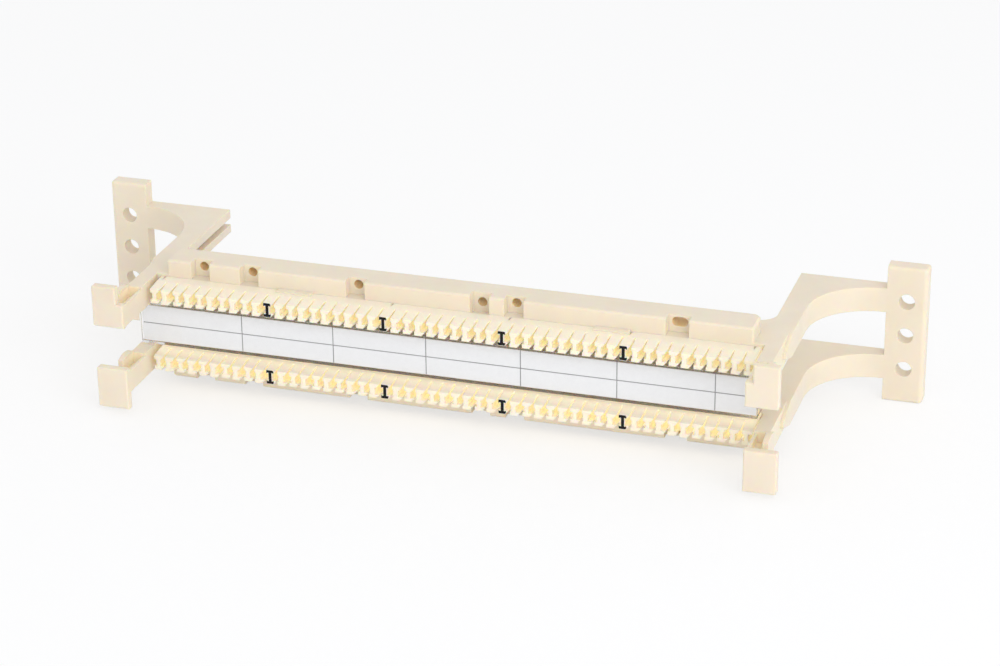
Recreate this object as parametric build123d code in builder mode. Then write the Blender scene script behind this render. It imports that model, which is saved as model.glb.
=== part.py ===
from build123d import *
import os

# Wiring block for punched-down pairs: one moulded base with two comb rows and
# stand-off legs, a clear label holder between the rows and a paper label in it.
# Millimetres. X runs along the rows, Y runs back to the wall, Z is up.
# The origin is the middle of the wall plane, where the feet sit.

# Depths, from the wall to the front
standoff = 39.6
body_depth = 27.0
hook_reach = 17.2

# Comb rows
slot_pitch = 3.81
slot_count = 50
row_pitch = 22.86
comb_depth = 9.5
nose_half = 2.4
ledge_half = 3.0
tooth_length = 5.3
slit_width = 0.5
slit_shift = 0.35
slit_rake = 1.0
cavity_half = 1.15
pair_web = 1.25
split_web = 1.5
split_shift = -0.25
split_reach = 0.4
end_room = 2.95

# Marks along the back of the ledges
group_slots = 10
notch_width = 0.9
notch_length = 2.6
notch_depth = 0.9
pad_length = 11.7
pad_depth = 2.4
pad_height = 0.5

# Channel behind the rows
wall = 2.5
web_setback = 12.0
ledge_step = 0.84
rail_depth = 2.0

# Flange bars above and below the rows, with pockets at these shares of the half length
bar_inset = 0.6
bar_depth = 11.2
bar_rise = 4.83
bar_corner = 2.5
bar_front_corner = 0.8
bar_edge = 0.6
pocket_places = (-0.880, -0.706, -0.333, 0.094, 0.210)
pocket_drops = (0.0, 0.0, 0.0, 1.0, 0.0)
pocket_width = 6.2
pocket_depth = 3.5
pocket_hole = 3.0
pocket_hole_inset = 2.2
wide_pocket_place = 0.752
wide_pocket_width = 7.2
wide_pocket_hole = 5.0

# Arms and legs
arm_height = 7.9
arm_width = 6.0
leg_width = 7.3
leg_flare = 20.8
leg_fillet = 5.5
skin = 1.1
skin_slope_start = 20.0
skin_front = 11.5
skin_drop = 2.9
skin_chin = 2.9
skin_heel = 20.0
lip_top = 3.0
lip_groove_height = 2.3
lip_groove_depth = 3.0
lip_groove_setback = 6.6

# Feet
foot_width = 12.7
foot_height = 45.72
foot_thickness = 5.0
foot_corner = 1.5
foot_edge = 1.0
foot_hole = 5.1
foot_hole_pitch = 11.43

# Hooks at the front ends of the arms
hook_thickness = 2.5
hook_width = 10.2
hook_rise = 5.23
hook_drop = 0.34
hook_notch_width = 2.3
hook_notch_drop = 0.47
hook_corner = 0.6
hook_edge = 0.35
trough_inset = 0.9
trough_width = 3.3
trough_depth = 3.6
trough_sill = 0.9
trough_end = 2.8
cheek_front = 10.2
cheek_length = 8.4
cheek_rise = 1.0
wedge_setback = 5.2
wedge_length = 4.7
wedge_drop = 2.3
wedge_width = 2.0

# Label holder and label
holder_gap = 0.47
holder_sheet = 0.8
holder_setback = 4.2
holder_overhang = 4.6
holder_shift = -2.45
rail_clearance = 0.15
label_thickness = 0.25
label_margin = 0.4
label_clearance = 0.1

# How far a cutter runs past the face that it opens
cut = 1.0

# Places that follow from the sizes above
y_body = -standoff
y_tip = y_body - body_depth
y_ledge = y_tip + comb_depth
y_web = y_tip + web_setback
y_bar = y_ledge + bar_depth
y_hook = y_tip - hook_reach
y_hook_back = y_hook + hook_thickness
row_half = slot_pitch * slot_count / 2
row_z = row_pitch / 2
ledge_z = row_z + ledge_half
arm_top = ledge_z + ledge_step
arm_bottom = arm_top - arm_height
arm_in = row_half + end_room
leg_out = arm_in + arm_width
leg_in = leg_out - leg_width
core_out = leg_out - skin
foot_in = leg_out + leg_flare
foot_mid = foot_in + foot_width / 2
flare_y = -(foot_thickness + leg_flare)
bar_half = row_half - bar_inset
bar_top = arm_top + bar_rise
pocket_hole_z = bar_top - pocket_hole_inset
hook_top = arm_top + hook_rise
hook_bottom = arm_bottom - hook_drop
hook_out = arm_in + hook_width
trough_in = arm_in + trough_inset
trough_out = trough_in + trough_width
y_trough_end = y_tip - trough_end
y_cheek = y_tip - cheek_front
y_cheek_back = y_cheek + cheek_length
y_wedge = y_tip - wedge_setback
holder_half = arm_bottom - holder_gap
holder_length = 2 * (row_half + holder_overhang)
holder_y = y_tip + holder_setback
label_y = holder_y + holder_sheet
roof_slope = (ledge_half - nose_half) / tooth_length
tooth_x = [(i - slot_count / 2) * slot_pitch for i in range(slot_count + 1)]
slit_left = slit_shift - slit_width / 2
slit_right = slit_shift + slit_width / 2
slot_x = [x + slot_pitch / 2 for x in tooth_x[:-1]]
web_half = [(split_web if i % 2 else pair_web) / 2 for i in range(slot_count + 1)]
web_x = [x + split_shift * (i % 2) for i, x in enumerate(tooth_x)]
row_left = -row_half - slot_pitch / 2 + slit_right
row_right = row_half + slot_pitch / 2 + slit_left
end_cavity = slot_pitch / 2
group_x = tooth_x[::group_slots]
pad_x = group_x[-2] - pad_length / 2

with BuildPart() as base:
    # Channel: the web behind the label and the walls above and below it
    with BuildSketch(Plane.YZ) as channel_section:
        with Locations((y_web + wall / 2, 0)):
            Rectangle(wall, 2 * arm_top)
        with Locations(*[((y_ledge + y_body) / 2, side * (arm_top - wall / 2)) for side in (-1, 1)]):
            Rectangle(y_body - y_ledge, wall)
    extrude(amount=leg_in, both=True)

    # Comb rows before the slots are cut, with a sloping roof and belly
    with BuildSketch(Plane.YZ.offset(row_left)) as row_section:
        nose = nose_half - roof_slope * split_reach
        for level in (-row_z, row_z):
            Polygon(
                (y_tip - split_reach, level - nose),
                (y_tip - split_reach, level + nose),
                (y_tip + tooth_length, level + ledge_half),
                (y_web + wall / 2, level + ledge_half),
                (y_web + wall / 2, level - ledge_half),
                (y_tip + tooth_length, level - ledge_half),
                align=None,
            )
    extrude(amount=row_right - row_left)

    # Rails under the rows that locate the label holder on the web
    with BuildSketch(Plane.YZ) as rail_section:
        rail_low = holder_half + rail_clearance
        with Locations(*[(y_web, side * (rail_low + row_z) / 2) for side in (-1, 1)]):
            Rectangle(2 * rail_depth, row_z - rail_low)
    extrude(amount=leg_in, both=True)

    # Flange bars with rounded corners at each end and a bevelled outer rim
    for side in (-1, 1):
        with BuildSketch(Plane.XY.offset(side * (arm_top - wall))) as bar_plan:
            with Locations((0, (y_ledge + y_bar) / 2)):
                Rectangle(2 * bar_half, bar_depth)
            fillet(bar_plan.vertices().group_by(Axis.Y)[-1], bar_corner)
            fillet(bar_plan.vertices().group_by(Axis.Y)[0], bar_front_corner)
        extrude(amount=side * (bar_rise + wall))
        bar_face = base.faces().sort_by(Axis.Z, reverse=side < 0)[-1]
        chamfer(bar_face.edges(), bar_edge)

    # Arms: flare to the foot, fillet to the body, leg, and the run out to the hook
    for side in (-1, 1):
        for level in (arm_bottom, -arm_top):
            with BuildSketch(Plane.XY.offset(level)) as arm_plan:
                with Locations((side * (leg_out + foot_in) / 2, flare_y / 2)):
                    Rectangle(leg_flare, -flare_y)
                with Locations((side * foot_in, flare_y)):
                    Circle(leg_flare, mode=Mode.SUBTRACT)
                with Locations((side * (leg_in - leg_fillet / 2), y_body + leg_fillet / 2)):
                    Rectangle(leg_fillet, leg_fillet)
                with Locations((side * (leg_in - leg_fillet), y_body + leg_fillet)):
                    Circle(leg_fillet, mode=Mode.SUBTRACT)
                with Locations((side * (leg_in + core_out) / 2, y_ledge / 2)):
                    Rectangle(core_out - leg_in, -y_ledge)
                with Locations((side * (arm_in + core_out) / 2, (y_hook_back + y_web) / 2)):
                    Rectangle(core_out - arm_in, y_web - y_hook_back)
            extrude(amount=arm_height)

    # Outer skin of each leg, with a top edge that slopes down to its front end
    for side in (-1, 1):
        with BuildSketch(Plane.YZ.offset(side * core_out)) as skin_side:
            for level in (arm_bottom, -arm_top):
                Polygon(
                    (0, level),
                    (0, level + arm_height),
                    (y_tip + skin_slope_start, level + arm_height),
                    (y_tip + skin_front, level + arm_height - skin_drop),
                    (y_tip + skin_front, level + skin_chin),
                    (y_tip + skin_heel, level),
                    align=None,
                )
        extrude(amount=side * skin)

    # Feet, rounded at their outer corner and along their free rims
    with BuildSketch(Plane.XY.offset(-foot_height / 2)) as feet:
        with Locations((-foot_mid, -foot_thickness / 2), (foot_mid, -foot_thickness / 2)):
            Rectangle(foot_width, foot_thickness)
        feet_front = feet.vertices().group_by(Axis.Y)[0].sort_by(Axis.X)
        fillet([feet_front[0], feet_front[-1]], foot_corner)
    extrude(amount=foot_height)
    foot_ends = base.faces().filter_by(Axis.Z).filter_by(lambda face: abs(face.center().X) > foot_in)
    foot_rims = foot_ends.edges().filter_by(
        lambda rim: rim.center().Y < -foot_edge and abs(rim.center().X) > foot_in + foot_edge
    )
    fillet(foot_rims, foot_edge)

    # Screw holes in the feet
    with BuildSketch(Plane.XZ) as screw_holes:
        with Locations((-foot_mid, 0), (foot_mid, 0)):
            with GridLocations(0, foot_hole_pitch, 1, 3):
                Circle(foot_hole / 2)
    extrude(amount=foot_thickness, mode=Mode.SUBTRACT)

    # Groove along the inner edge of each leg, open at the wall
    for side in (-1, 1):
        with BuildSketch(Plane.YZ.offset(side * leg_in)) as lip_grooves:
            groove_length = standoff - lip_groove_setback + cut
            groove_z = arm_top - lip_top - lip_groove_height / 2
            with Locations(*[(cut - groove_length / 2, flip * groove_z) for flip in (-1, 1)]):
                Rectangle(groove_length, lip_groove_height)
        extrude(amount=side * lip_groove_depth, mode=Mode.SUBTRACT)

    # Hook plates: the upper ones are notched at their inner top corner
    for side in (-1, 1):
        with BuildSketch(Plane.XZ.offset(-y_hook_back)) as hooks:
            hook_mid = side * (arm_in + hook_out) / 2
            with Locations(*[(hook_mid, flip * (hook_bottom + hook_top) / 2) for flip in (-1, 1)]):
                Rectangle(hook_width, hook_top - hook_bottom)
            outer = hooks.vertices().filter_by(lambda v: abs(v.X) > abs(hook_mid))
            fillet(outer, hook_corner)
            with Locations((side * arm_in, hook_top)):
                Rectangle(
                    2 * hook_notch_width,
                    2 * (hook_rise + hook_notch_drop),
                    mode=Mode.SUBTRACT,
                )
        extrude(amount=hook_thickness)
    chamfer(base.faces().group_by(Axis.Y)[0].edges(), hook_edge)

    # Cheek outside each wire trough, with an arched top
    for side in (-1, 1):
        for level in (arm_top, -arm_bottom):
            with BuildSketch(Plane.YZ.offset(side * trough_out)) as cheek_side:
                with BuildLine() as cheek_outline:
                    Polyline(
                        (y_cheek, level),
                        (y_cheek, level - arm_height),
                        (y_cheek_back, level - arm_height),
                        (y_cheek_back, level),
                    )
                    ThreePointArc(
                        (y_cheek_back, level),
                        ((y_cheek + y_cheek_back) / 2, level + cheek_rise),
                        (y_cheek, level),
                    )
                make_face()
            extrude(amount=side * (leg_out - trough_out))

    # Wire trough behind each hook plate, open to the outside in front of the cheek
    for level in (arm_top, -arm_bottom):
        with BuildSketch(Plane.XY.offset(level)) as troughs:
            for side in (-1, 1):
                with Locations((side * (trough_in + trough_out) / 2, (y_hook_back + y_trough_end) / 2)):
                    Rectangle(trough_width, y_trough_end - y_hook_back)
                with Locations((side * (trough_in + core_out) / 2, (y_hook_back + y_cheek) / 2)):
                    Rectangle(core_out - trough_in, y_cheek - y_hook_back)
        extrude(amount=-trough_depth, mode=Mode.SUBTRACT)
        with BuildSketch(Plane.XY.offset(level)) as sills:
            with Locations(*[(side * arm_in, (y_hook_back + y_trough_end) / 2) for side in (-1, 1)]):
                Rectangle(2 * trough_inset, y_trough_end - y_hook_back)
        extrude(amount=-trough_sill, mode=Mode.SUBTRACT)

    # Stop wedge under the inner edge of each upper arm
    for side in (-1, 1):
        with BuildSketch(Plane.YZ.offset(side * arm_in)) as wedge_side:
            Polygon(
                (y_wedge - wedge_length, arm_bottom),
                (y_wedge, arm_bottom),
                (y_wedge, arm_bottom - wedge_drop),
                align=None,
            )
        extrude(amount=side * wedge_width)

    # Pockets in both bars, open to the front and outwards, each with a hole
    for side in (-1, 1):
        pocket_height = bar_top - ledge_z + cut
        pocket_z = ledge_z + pocket_height / 2
        with BuildSketch(Plane.XZ.offset(-y_ledge)) as pockets:
            for place, drop in zip(pocket_places, pocket_drops):
                with Locations((place * bar_half, side * (pocket_z - drop))):
                    Rectangle(pocket_width, pocket_height)
            with Locations((wide_pocket_place * bar_half, side * pocket_z)):
                Rectangle(wide_pocket_width, pocket_height)
        extrude(amount=-pocket_depth, mode=Mode.SUBTRACT)
        with BuildSketch(Plane.XZ.offset(-y_ledge)) as pocket_holes:
            for place, drop in zip(pocket_places, pocket_drops):
                with Locations((place * bar_half, side * (pocket_hole_z - drop))):
                    Circle(pocket_hole / 2)
            with Locations((wide_pocket_place * bar_half, side * pocket_hole_z)):
                SlotOverall(wide_pocket_hole, pocket_hole)
        extrude(amount=-(bar_depth + cut), mode=Mode.SUBTRACT)

    # Raised pads and small notches along the back of both ledges
    for level in (-row_z, row_z):
        with BuildSketch(Plane.XY.offset(level + ledge_half)) as pads:
            with Locations((-pad_x, y_ledge - pad_depth / 2), (pad_x, y_ledge - pad_depth / 2)):
                Rectangle(pad_length, pad_depth)
        extrude(amount=pad_height)
        with BuildSketch(Plane.XY.offset(level + ledge_half + pad_height)) as notches:
            with Locations(*[(x, y_ledge) for x in group_x]):
                Polygon((-notch_width / 2, 0), (notch_width / 2, 0), (0, -notch_length), align=None)
        extrude(amount=-(notch_depth + pad_height), mode=Mode.SUBTRACT)

    # Slots of the combs: clip cavities between the webs of the teeth
    for level in (-row_z, row_z):
        with BuildSketch(Plane.XZ.offset(-y_tip + cut)) as cavities:
            for i in range(slot_count):
                cavity_left = web_x[i] + web_half[i]
                cavity_right = web_x[i + 1] - web_half[i + 1]
                with Locations(((cavity_left + cavity_right) / 2, level)):
                    Rectangle(cavity_right - cavity_left, 2 * cavity_half)
            for side in (-1, 1):
                with Locations((side * (row_half + (pair_web + end_cavity) / 2), level)):
                    Rectangle(end_cavity, 2 * cavity_half)
        extrude(amount=-(tooth_length + cut), mode=Mode.SUBTRACT)

    # Wire slits through the roofs and bellies, raked on their left side and upright on their right
    for level in (-row_z, row_z):
        with BuildSketch(Plane.XZ.offset(-y_tip + cut)) as slits:
            with Locations(*[(x, level) for x in slot_x]):
                Polygon(
                    (slit_left - slit_rake, 0),
                    (slit_right, 0),
                    (slit_right, ledge_half + cut),
                    (slit_left, ledge_half + cut),
                    (slit_left, nose_half),
                    (slit_left - slit_rake, cavity_half),
                    align=None,
                )
                Polygon(
                    (slit_left, 0),
                    (slit_left, -cavity_half),
                    (slit_left - slit_rake, -nose_half),
                    (slit_left - slit_rake, -ledge_half - cut),
                    (slit_right, -ledge_half - cut),
                    (slit_right, 0),
                    align=None,
                )
        extrude(amount=-(tooth_length + cut), mode=Mode.SUBTRACT)

    # The teeth between pairs stand back from the teeth that split a pair
    for level in (-row_z, row_z):
        with BuildSketch(Plane.XZ.offset(-y_tip)) as setbacks:
            with Locations(*[(x + slit_shift, level) for x in tooth_x[::2]]):
                Rectangle(slot_pitch, 2 * ledge_half)
        extrude(amount=split_reach, mode=Mode.SUBTRACT)

with BuildPart() as holder:
    # Clear channel: a front sheet with two legs that reach back to the web
    with BuildSketch(Plane.YZ.offset(holder_shift)) as holder_section:
        with Locations(((holder_y + y_web) / 2, 0)):
            Rectangle(y_web - holder_y, 2 * holder_half)
        with Locations((y_web, 0)):
            Rectangle(2 * (y_web - label_y), 2 * (holder_half - holder_sheet), mode=Mode.SUBTRACT)
    extrude(amount=holder_length / 2, both=True)

with BuildPart() as label:
    # Paper strip that lies against the back of the clear sheet
    with BuildSketch(Plane.XZ.offset(-label_y)) as label_front:
        with Locations((holder_shift, 0)):
            Rectangle(
                holder_length - 2 * label_margin,
                2 * (holder_half - holder_sheet - label_clearance),
            )
    extrude(amount=-label_thickness)

base.part.label = "base"
holder.part.label = "label_holder"
label.part.label = "label"

os.makedirs("parts", exist_ok=True)
export_step(base.part, "parts/base.step")
export_step(holder.part, "parts/label_holder.step")
export_step(label.part, "parts/label.step")
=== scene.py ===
import math

import bpy
from mathutils import Matrix, Vector


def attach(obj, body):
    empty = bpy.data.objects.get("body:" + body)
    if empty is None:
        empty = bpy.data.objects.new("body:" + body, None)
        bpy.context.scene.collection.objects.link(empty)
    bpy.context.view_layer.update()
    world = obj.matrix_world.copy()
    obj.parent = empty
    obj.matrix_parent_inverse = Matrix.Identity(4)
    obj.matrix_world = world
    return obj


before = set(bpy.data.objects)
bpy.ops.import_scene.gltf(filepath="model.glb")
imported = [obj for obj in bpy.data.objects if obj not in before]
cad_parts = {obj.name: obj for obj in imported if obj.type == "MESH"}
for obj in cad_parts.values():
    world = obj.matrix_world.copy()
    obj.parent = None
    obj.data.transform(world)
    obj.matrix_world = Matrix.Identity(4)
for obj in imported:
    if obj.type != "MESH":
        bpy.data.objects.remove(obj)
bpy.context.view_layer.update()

MM = 0.001

# Sizes shared with the solids, in millimetres
TIP_Y = -66.6
SLOT_PITCH = 3.81
ROW_Z = 11.43
ROW_END = 97.5
ROW_FRONT = -1.0
COMB_DEPTH = 9.5
LEDGE_HALF = 3.0
CAVITY_HALF = 1.15
TOOTH_LENGTH = 5.3
SLIT_SHIFT = 0.35
SLIT_HALF = 0.25
POCKET_HOLE_Z = (15.3, 19.5)
POCKET_HOLE_DEPTH = (13.1, 20.6)
POCKET_HOLE_END = 94.0
END_GAP = (97.2, 98.2)
RAIL_DEPTH = (9.4, 10.1)
RAIL_LEVEL = (7.0, 8.5)
TROUGH_X = (99.05, 103.0)
TROUGH_DEPTH = (-14.8, -2.75)
TROUGH_LEVEL = (7.4, 15.2)
CORE_OUT = 103.1
GROOVE_DEPTH = (-6.0, 20.0)
# Level where the painted shade on the holder's top and bottom edges starts, and the height it comes up
# over
HOLDER_EDGE = 6.05
HOLDER_EDGE_FADE = 0.15
MARK_TEETH = (-15, -5, 5, 15)

# Allowance that lets a mask take in the faces at its bounds, in millimetres
SKIM = 0.03

# Depths over which the light in the combs comes up, in millimetres
CAVITY_FADE = 2.0
LEDGE_FADE_START = 1.0

# Strength of the painted glow: emission that stands in for the light that comes through thin walls
CAVITY_GLOW = 0.16
SLIT_GLOW = (0.02, 0.2)
END_GAP_GLOW = 0.3
TROUGH_GLOW = 0.05
LEDGE_GLOW = 0.26
RAIL_GLOW = 0.3

# Finish of the cream plastic, in millimetres
SCATTER = 1.6
SOFT_EDGE = 0.3
GRAIN = 0.012

# Relief of the paper and thickness of the ink, in millimetres
FIBRE = 0.01
INK_FILM = 0.03

# Label print, in millimetres
LABEL_COLUMN = 8 * SLOT_PITCH
LABEL_FIRST_LINE = -68.0
LABEL_LINE_START = -101.6
LABEL_LINE = 0.3

# Upper half of an inked tooth, from the left of its stem over its cap
MARK_HALF = (
    (-0.54, 1.45), (-1.0, 1.45), (-1.12, 1.3), (-1.27, 1.25), (-1.27, 2.05), (-1.15, 2.3),
    (0.85, 2.3), (1.1, 1.95), (1.1, 1.35), (0.95, 1.3), (0.82, 1.45), (0.42, 1.45),
)

# Camera of the photograph: place and aim in millimetres, roll in degrees
CAMERA_PLACE = (260.18, -819.77, 365.20)
CAMERA_AIM = (18.52, -66.6, 13.18)
CAMERA_ROLL = -0.572
CAMERA_LENS = 103.15

# Floor: level in millimetres, half its side in metres, and the share of its white that is its own light
FLOOR_Z = -22.9
FLOOR_HALF = 6.0
FLOOR_GLOW = 0.6

# Studio light: sky strength as it lights and as it is seen, then lamps in metres and watts
SKY_LIGHT = 0.8
SKY_SEEN = 1.0
LAMP_AIM = (0, -0.05, 0)
LAMPS = {
    "key": {"place": (0.7, -1.3, 1.1), "size": (1.0, 0.8), "power": 6.6},
    "fill": {"place": (1.3, -0.9, 0.5), "size": (0.8, 0.8), "power": 5.0},
}


def vec(point):
    return Vector(point) * MM


class Nodes:
    """A material with a Principled shader and short helpers to add nodes."""

    def __init__(self, name):
        self.mat = bpy.data.materials.new(name)
        self.mat.use_nodes = True
        self.tree = self.mat.node_tree
        self.shader = self.tree.nodes["Principled BSDF"]
        self.out = self.tree.nodes["Material Output"]

    def add(self, kind, **settings):
        node = self.tree.nodes.new(kind)
        for key, value in settings.items():
            setattr(node, key, value)
        return node

    def link(self, a, b):
        self.tree.links.new(a, b)

    def put(self, socket, value):
        self.shader.inputs[socket].default_value = value

    def math(self, operation, a, b=None):
        node = self.add("ShaderNodeMath", operation=operation)
        for index, value in enumerate((a, b)):
            if value is None:
                continue
            if isinstance(value, (int, float)):
                node.inputs[index].default_value = value
            else:
                self.link(value, node.inputs[index])
        return node.outputs[0]

    def place(self):
        return self.add("ShaderNodeTexCoord").outputs["Object"]

    def noise(self, scale, detail=3.0, roughness=0.5):
        node = self.add("ShaderNodeTexNoise")
        node.inputs["Scale"].default_value = scale
        node.inputs["Detail"].default_value = detail
        node.inputs["Roughness"].default_value = roughness
        self.link(self.place(), node.inputs["Vector"])
        return node.outputs["Fac"]

    def ramp(self, fac, low, high, start=0.35, end=0.65):
        node = self.add("ShaderNodeMapRange")
        node.inputs["From Min"].default_value = start
        node.inputs["From Max"].default_value = end
        node.inputs["To Min"].default_value = low
        node.inputs["To Max"].default_value = high
        self.link(fac, node.inputs["Value"])
        return node.outputs["Result"]

    def mix(self, fac, a, b):
        node = self.add("ShaderNodeMix", data_type="RGBA")
        for index, value in ((0, fac), (6, a), (7, b)):
            if isinstance(value, tuple):
                node.inputs[index].default_value = value
            else:
                self.link(value, node.inputs[index])
        return node.outputs[2]

    def axes(self):
        split = self.add("ShaderNodeSeparateXYZ")
        self.link(self.place(), split.inputs[0])
        return split.outputs["X"], split.outputs["Y"], split.outputs["Z"]

    def between(self, value, low, high):
        """A mask that is 1 where a length lies between two bounds in millimetres."""
        off = self.math("ABSOLUTE", self.math("SUBTRACT", value, (low + high) / 2 * MM))
        return self.math("LESS_THAN", off, (high - low) / 2 * MM)

    def both(self, *masks):
        """The masks multiplied together."""
        mask = masks[0]
        for other in masks[1:]:
            mask = self.math("MULTIPLY", mask, other)
        return mask

    def either(self, *masks):
        """The largest of the masks."""
        mask = masks[0]
        for other in masks[1:]:
            mask = self.math("MAXIMUM", mask, other)
        return mask

    def bump(self, height, distance, strength=1.0, normal=None):
        node = self.add("ShaderNodeBump")
        node.inputs["Strength"].default_value = strength
        node.inputs["Distance"].default_value = distance
        self.link(height, node.inputs["Height"])
        if normal is not None:
            self.link(normal, node.inputs["Normal"])
        return node.outputs["Normal"]


def comb_masks(n, x, depth, level):
    """Masks for the combs, their clip cavities and roof slits, and the gap at their right end."""
    off_row = n.math("ABSOLUTE", n.math("SUBTRACT", level, ROW_Z * MM))
    in_row = n.between(x, -ROW_END, ROW_END)
    comb_depth = n.between(depth, ROW_FRONT, COMB_DEPTH - SKIM)
    comb_height = n.math("LESS_THAN", off_row, (LEDGE_HALF + SKIM) * MM)
    comb = n.both(in_row, comb_depth, comb_height)
    in_teeth = n.both(in_row, n.between(depth, ROW_FRONT, TOOTH_LENGTH + SKIM))
    in_cavity = n.math("LESS_THAN", off_row, (CAVITY_HALF + SKIM) * MM)
    cavity = n.both(in_teeth, in_cavity, n.ramp(depth, 0.0, 1.0, 0.0, CAVITY_FADE * MM))
    from_tooth = n.math("PINGPONG", n.math("SUBTRACT", x, SLIT_SHIFT * MM), SLOT_PITCH / 2 * MM)
    at_slit = n.math("GREATER_THAN", from_tooth, (SLOT_PITCH / 2 - SLIT_HALF - SKIM) * MM)
    slit = n.both(in_teeth, at_slit, n.between(off_row, CAVITY_HALF, LEDGE_HALF))
    end_gap = n.both(comb_depth, comb_height, n.between(x, *END_GAP))
    return comb, cavity, slit, end_gap


def cream_plastic():
    n = Nodes("cream_plastic")
    cloud = n.noise(55.0, 4.0)
    cream = n.mix(n.ramp(cloud, 0.0, 1.0), (0.815, 0.73, 0.592, 1), (0.845, 0.76, 0.622, 1))
    x, y, z = n.axes()
    depth = n.math("SUBTRACT", y, TIP_Y * MM)
    level = n.math("ABSOLUTE", z)
    comb, cavity, slit, end_gap = comb_masks(n, x, depth, level)
    side = n.math("ABSOLUTE", x)
    groove = n.both(
        n.between(side, CORE_OUT - SKIM, CORE_OUT + SKIM),
        n.between(depth, *GROOVE_DEPTH),
    )
    trough = n.both(
        n.between(side, *TROUGH_X),
        n.between(depth, *TROUGH_DEPTH),
        n.between(level, *TROUGH_LEVEL),
    )
    hole = n.both(
        n.between(x, -POCKET_HOLE_END, POCKET_HOLE_END),
        n.between(depth, *POCKET_HOLE_DEPTH),
        n.between(level, *POCKET_HOLE_Z),
    )
    # Painted light: the combs get a paler cream that stands in for the light falling on them and
    # passing into them
    lit_comb = n.mix(comb, cream, (0.945, 0.85, 0.70, 1))
    # Painted shade: the outer groove and the troughs get a golden tone that stands in for the shade in
    # these recesses
    painted_recess_shade = n.mix(n.either(groove, trough), lit_comb, (0.87, 0.775, 0.60, 1))
    # Painted shade: the pocket holes in the bars get a deep golden tone for the shade inside them
    painted_hole_shade = n.mix(hole, painted_recess_shade, (0.92, 0.74, 0.44, 1))
    # Painted light: the clip cavities and the roof slits get a pale golden tone for the light that gets
    # into them; in the cavities it comes up with depth, in the slits it fades towards the back
    slit_front = n.math("MULTIPLY", slit, n.ramp(depth, 1.0, 0.0, 0.0, TOOTH_LENGTH * MM))
    colour = n.mix(n.either(cavity, slit_front), painted_hole_shade, (0.94, 0.86, 0.61, 1))
    n.link(colour, n.shader.inputs["Base Color"])

    # Painted glow: emission that stands in for the light that comes through the thin walls
    lower = n.math("LESS_THAN", z, 0.0)
    rail = n.both(n.between(depth, *RAIL_DEPTH), n.between(level, *RAIL_LEVEL))
    on_ledge = n.ramp(depth, 0.0, LEDGE_GLOW, LEDGE_FADE_START * MM, TOOTH_LENGTH * MM)
    painted_glow = n.either(
        n.math("MULTIPLY", cavity, CAVITY_GLOW),
        n.math("MULTIPLY", slit, n.ramp(depth, *SLIT_GLOW, 0.0, TOOTH_LENGTH * MM)),
        n.math("MULTIPLY", end_gap, END_GAP_GLOW),
        n.math("MULTIPLY", trough, TROUGH_GLOW),
        n.both(comb, lower, on_ledge),
        n.both(rail, lower, n.between(x, -ROW_END, ROW_END), RAIL_GLOW),
    )
    n.put("Emission Color", (1.0, 0.87, 0.56, 1))
    n.link(painted_glow, n.shader.inputs["Emission Strength"])
    n.link(n.ramp(n.noise(420.0, 3.0), 0.40, 0.50), n.shader.inputs["Roughness"])
    n.put("Subsurface Weight", 0.6)
    n.put("Subsurface Radius", (1.0, 0.6, 0.2))
    n.put("Subsurface Scale", SCATTER * MM)
    n.put("IOR", 1.5)
    edge = n.add("ShaderNodeBevel", samples=4)
    edge.inputs["Radius"].default_value = SOFT_EDGE * MM
    grain = n.bump(n.noise(3200.0, 2.0), GRAIN * MM, 0.6, edge.outputs["Normal"])
    n.link(grain, n.shader.inputs["Normal"])
    return n.mat


def clear_plastic():
    n = Nodes("clear_plastic")
    z = n.axes()[2]
    # Painted shade: the holder turns grey towards its top and bottom edges, for the thin shadow line
    # there
    shaded_rim_end = (HOLDER_EDGE + HOLDER_EDGE_FADE) * MM
    shaded_rim = n.ramp(n.math("ABSOLUTE", z), 0.0, 1.0, HOLDER_EDGE * MM, shaded_rim_end)
    n.link(n.mix(shaded_rim, (0.985, 0.99, 1.0, 1), (0.78, 0.79, 0.81, 1)), n.shader.inputs["Base Color"])
    n.put("Transmission Weight", 1.0)
    n.put("IOR", 1.46)
    n.link(n.ramp(n.noise(180.0, 2.0), 0.03, 0.09), n.shader.inputs["Roughness"])
    path = n.add("ShaderNodeLightPath")
    clear = n.add("ShaderNodeBsdfTransparent")
    pick = n.add("ShaderNodeMixShader")
    lets_light = n.math("MAXIMUM", path.outputs["Is Shadow Ray"], path.outputs["Is Diffuse Ray"])
    n.link(lets_light, pick.inputs[0])
    n.link(n.shader.outputs[0], pick.inputs[1])
    n.link(clear.outputs[0], pick.inputs[2])
    n.link(pick.outputs[0], n.out.inputs["Surface"])
    return n.mat


def printed_paper():
    n = Nodes("printed_paper")
    x, _, z = n.axes()
    half_line = LABEL_LINE / 2 * MM
    middle = n.math("LESS_THAN", n.math("ABSOLUTE", z), half_line)
    across = n.math("MULTIPLY", middle, n.math("GREATER_THAN", x, LABEL_LINE_START * MM))
    from_first = n.math("SUBTRACT", x, LABEL_FIRST_LINE * MM)
    column = n.math("PINGPONG", from_first, LABEL_COLUMN / 2 * MM)
    near = n.math("LESS_THAN", column, half_line)
    after = n.math("GREATER_THAN", from_first, -half_line)
    upright = n.math("MULTIPLY", near, after)
    lines = n.math("MAXIMUM", across, upright)
    fibre = n.ramp(n.noise(900.0, 4.0), 0.0, 1.0)
    paper = n.mix(fibre, (0.82, 0.83, 0.85, 1), (0.84, 0.85, 0.87, 1))
    n.link(n.mix(lines, paper, (0.24, 0.24, 0.25, 1)), n.shader.inputs["Base Color"])
    n.link(n.ramp(fibre, 0.75, 0.9, 0.0, 1.0), n.shader.inputs["Roughness"])
    n.link(n.bump(n.noise(2600.0, 3.0), FIBRE * MM, 0.5), n.shader.inputs["Normal"])
    return n.mat


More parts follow.
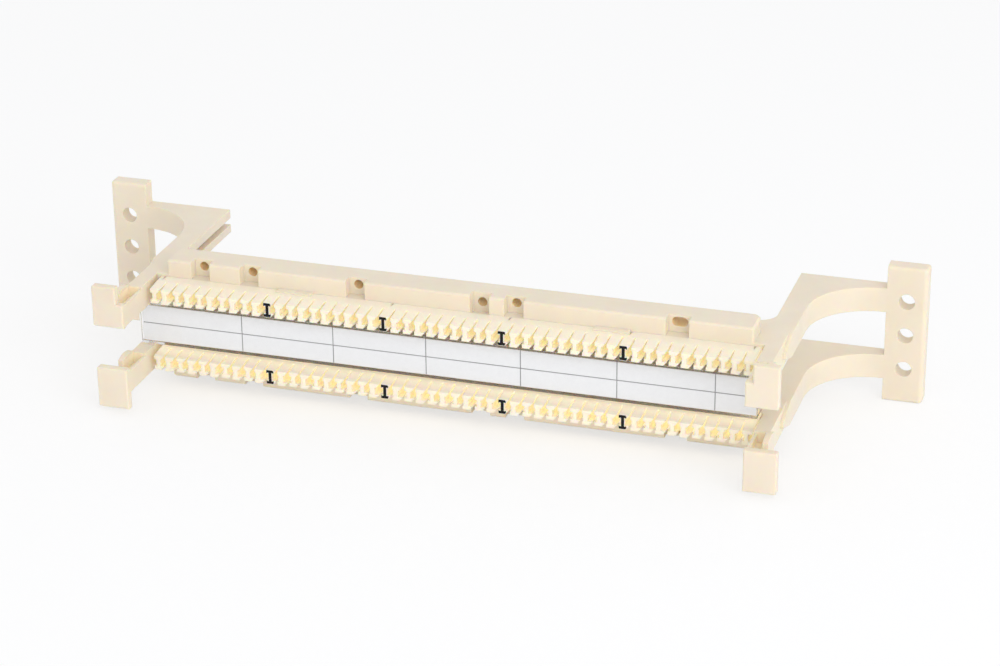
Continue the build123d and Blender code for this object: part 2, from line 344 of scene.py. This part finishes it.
def black_ink():
    n = Nodes("black_ink")
    speck = n.noise(2400.0, 3.0)
    black = n.mix(n.ramp(speck, 0.0, 1.0), (0.006, 0.006, 0.006, 1), (0.016, 0.015, 0.014, 1))
    n.link(black, n.shader.inputs["Base Color"])
    n.link(n.ramp(speck, 0.7, 0.85), n.shader.inputs["Roughness"])
    n.put("Specular IOR Level", 0.2)
    return n.mat


def give(obj, material):
    obj.data.materials.clear()
    obj.data.materials.append(material)


def ink_marks(name, level, material):
    """Ink on the front faces of the marked teeth: an I with the outline of the tooth."""
    outline = list(MARK_HALF) + [(x, -z) for x, z in reversed(MARK_HALF)]
    count = len(outline)
    verts, faces = [], []
    for tooth in MARK_TEETH:
        start = len(verts)
        for depth in (TIP_Y - INK_FILM, TIP_Y):
            verts += [vec((tooth * SLOT_PITCH + x, depth, level + z)) for x, z in outline]
        faces.append([start + i for i in reversed(range(count))])
        faces.append([start + count + i for i in range(count)])
        for i in range(count):
            j = (i + 1) % count
            faces.append([start + i, start + j, start + count + j, start + count + i])
    mesh = bpy.data.meshes.new(name)
    mesh.from_pydata(verts, [], faces)
    obj = bpy.data.objects.new(name, mesh)
    bpy.context.scene.collection.objects.link(obj)
    give(obj, material)
    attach(obj, "root")


def dress():
    give(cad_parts["base"], cream_plastic())
    give(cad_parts["label_holder"], clear_plastic())
    give(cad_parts["label"], printed_paper())
    ink = black_ink()
    ink_marks("upper_marks", ROW_Z, ink)
    ink_marks("lower_marks", -ROW_Z, ink)


def floor():
    mesh = bpy.data.meshes.new("floor")
    corners = [(-1, -1), (1, -1), (1, 1), (-1, 1)]
    verts = [(x * FLOOR_HALF, y * FLOOR_HALF, FLOOR_Z * MM) for x, y in corners]
    mesh.from_pydata(verts, [], [(0, 1, 2, 3)])
    obj = bpy.data.objects.new("floor", mesh)
    bpy.context.scene.collection.objects.link(obj)
    n = Nodes("floor_white")
    n.put("Base Color", (0.98, 0.985, 1.0, 1))
    n.put("Roughness", 0.9)
    n.put("Specular IOR Level", 0.1)
    glow = n.add("ShaderNodeEmission")
    path = n.add("ShaderNodeLightPath")
    seen = n.math("MAXIMUM", path.outputs["Is Camera Ray"], path.outputs["Is Glossy Ray"])
    seen = n.math("MAXIMUM", seen, path.outputs["Is Transmission Ray"])
    share = n.math("MULTIPLY", seen, FLOOR_GLOW)
    blend = n.add("ShaderNodeMixShader")
    n.link(share, blend.inputs[0])
    n.link(n.shader.outputs[0], blend.inputs[1])
    n.link(glow.outputs[0], blend.inputs[2])
    n.link(blend.outputs[0], n.out.inputs["Surface"])
    give(obj, n.mat)


def area_light(name, place, size, power):
    data = bpy.data.lights.new(name, "AREA")
    data.shape = "RECTANGLE"
    data.size, data.size_y = size
    data.energy = power
    obj = bpy.data.objects.new(name, data)
    obj.location = place
    obj.rotation_euler = (Vector(LAMP_AIM) - Vector(place)).to_track_quat("-Z", "Y").to_euler()
    bpy.context.scene.collection.objects.link(obj)


def studio():
    world = bpy.data.worlds.new("studio")
    bpy.context.scene.world = world
    world.use_nodes = True
    tree = world.node_tree
    tree.nodes["Background"].inputs["Color"].default_value = (1, 1, 1, 1)
    path = tree.nodes.new("ShaderNodeLightPath")
    seen = tree.nodes.new("ShaderNodeMath")
    seen.operation = "MAXIMUM"
    tree.links.new(path.outputs["Is Camera Ray"], seen.inputs[0])
    tree.links.new(path.outputs["Is Transmission Ray"], seen.inputs[1])
    level = tree.nodes.new("ShaderNodeMapRange")
    level.inputs["To Min"].default_value = SKY_LIGHT
    level.inputs["To Max"].default_value = SKY_SEEN
    tree.links.new(seen.outputs[0], level.inputs["Value"])
    tree.links.new(level.outputs["Result"], tree.nodes["Background"].inputs["Strength"])
    for name, lamp in LAMPS.items():
        area_light(name, **lamp)


def camera():
    data = bpy.data.cameras.new("camera")
    data.sensor_fit = "HORIZONTAL"
    data.sensor_width = 36.0
    data.lens = CAMERA_LENS
    data.clip_start = 0.05
    data.clip_end = 50.0
    obj = bpy.data.objects.new("camera", data)
    bpy.context.scene.collection.objects.link(obj)
    place, aim = vec(CAMERA_PLACE), vec(CAMERA_AIM)
    ahead = (aim - place).normalized()
    right = ahead.cross(Vector((0, 0, 1))).normalized()
    up = right.cross(ahead)
    roll = math.radians(CAMERA_ROLL)
    right, up = (
        right * math.cos(roll) + up * math.sin(roll),
        up * math.cos(roll) - right * math.sin(roll),
    )
    turn = Matrix((right, up, -ahead)).transposed()
    obj.matrix_world = Matrix.Translation(place) @ turn.to_4x4()
    bpy.context.scene.camera = obj


dress()
floor()
studio()
camera()
bpy.context.scene.view_settings.view_transform = "Standard"
